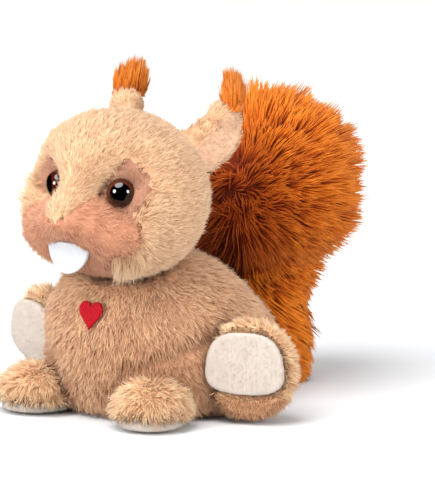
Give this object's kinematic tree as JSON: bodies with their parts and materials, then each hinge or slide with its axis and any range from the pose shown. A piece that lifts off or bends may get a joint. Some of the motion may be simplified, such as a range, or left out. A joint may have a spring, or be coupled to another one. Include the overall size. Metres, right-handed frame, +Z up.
{
  "type": "plush squirrel",
  "caption": "Stuffed plush squirrel lying on its belly, with a pieced face, felt tooth, tufted ears and a bushy upright tail.",
  "frame": {"origin": "on the flat of the belly where the toy lies, on its centre line, below the middle of the trunk", "axes": "+Z up, -Y the way the toy faces, +X its left side"},
  "size_m": [0.124, 0.1467, 0.1182],
  "materials": {
    "tan_plush": "short-pile polyester plush, soft and matt",
    "beige_plush": "short-pile polyester plush, soft and matt",
    "pink_tan_plush": "short-pile plush, pinkish tan",
    "dusty_pink_plush": "very short pile, dusty pink",
    "rust_long_plush": "long-pile plush in locks, dark at the roots",
    "orange_long_plush": "long-pile plush in locks",
    "ivory_velour": "brushed velour, off-white",
    "white_felt": "pressed felt",
    "red_embroidery": "satin-stitched patch",
    "eye_plastic": "polished, black with a dark brown ring",
    "washer_plastic": "moulded, uncoloured"
  },
  "bodies": {
    "root": {"body": "tan_plush", "head": "beige_plush", "muzzle": "pink_tan_plush", "eye_patch_left": "dusty_pink_plush", "eye_patch_right": "dusty_pink_plush", "eye_left": "eye_plastic", "eye_right": "eye_plastic", "eye_washer_left": "washer_plastic", "eye_washer_right": "washer_plastic", "tooth": "white_felt", "ear_left": "beige_plush", "ear_right": "beige_plush", "ear_tuft_left": "orange_long_plush", "ear_tuft_right": "orange_long_plush", "paw_left": "tan_plush", "paw_right": "tan_plush", "paw_pad_left": "ivory_velour", "paw_pad_right": "ivory_velour", "foot_left": "tan_plush", "foot_right": "tan_plush", "foot_sole_left": "ivory_velour", "foot_sole_right": "ivory_velour", "tail": "rust_long_plush", "heart_patch": "red_embroidery"}
  },
  "joints": []
}
